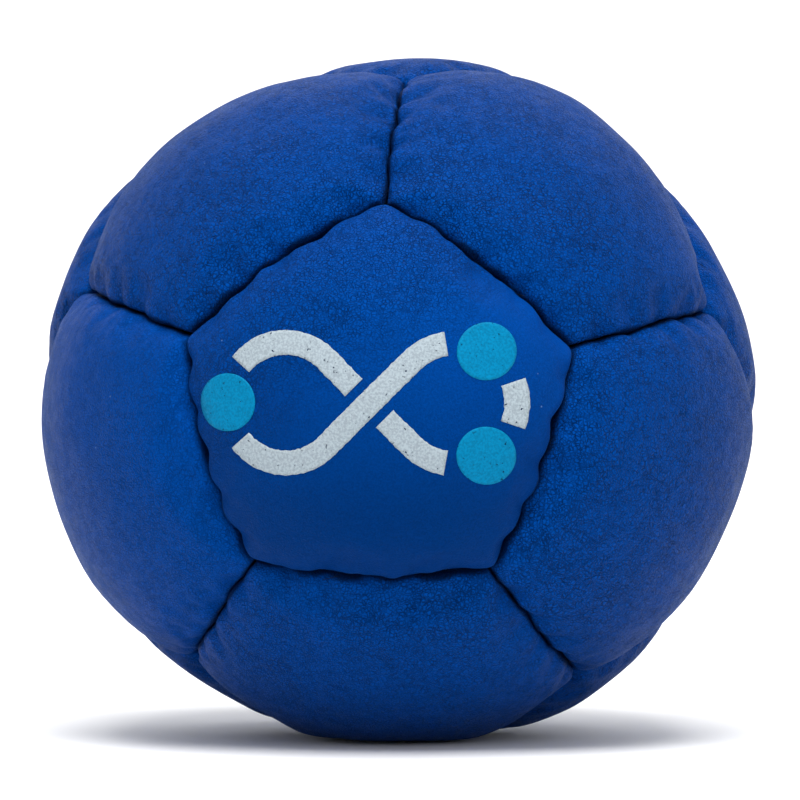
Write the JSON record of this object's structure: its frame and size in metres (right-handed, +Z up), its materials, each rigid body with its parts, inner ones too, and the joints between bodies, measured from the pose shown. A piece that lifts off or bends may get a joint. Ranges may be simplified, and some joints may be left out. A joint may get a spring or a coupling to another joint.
{
  "type": "juggling ball",
  "caption": "Soft round juggling ball: pentagonal panels sewn edge to edge over a loose bead filling, with a small printed emblem, pressed slightly flat where it rests.",
  "frame": {"origin": "middle of the ball", "axes": "+Z up, -Y towards the printed front, +X to the right of someone facing the front"},
  "size_m": [0.0656, 0.0661, 0.0625],
  "materials": {
    "cover": "matte grained synthetic leather",
    "thread": "waxed polyester thread",
    "white_ink": "screen print",
    "cyan_ink": "screen print",
    "beads": "translucent moulded plastic"
  },
  "bodies": {
    "cover": {"panel_front": "cover", "panel_front_upper_right": "cover", "panel_front_right": "cover", "panel_front_bottom": "cover", "panel_front_left": "cover", "panel_front_upper_left": "cover", "panel_back_top": "cover", "panel_back_right": "cover", "panel_back_lower_right": "cover", "panel_back_lower_left": "cover", "panel_back_left": "cover", "panel_back": "cover", "front_half_thread": "thread", "back_half_thread": "thread", "joining_thread": "thread", "closing_thread": "thread", "print_path": "white_ink", "print_balls": "cyan_ink"},
    "filling": {"filling_beads": "beads"}
  },
  "joints": [
    {"name": "filling_shift", "type": "slide", "parent": "cover", "child": "filling", "axis": [0, 0, 1], "range_m": [0, 0.0015]}
  ]
}
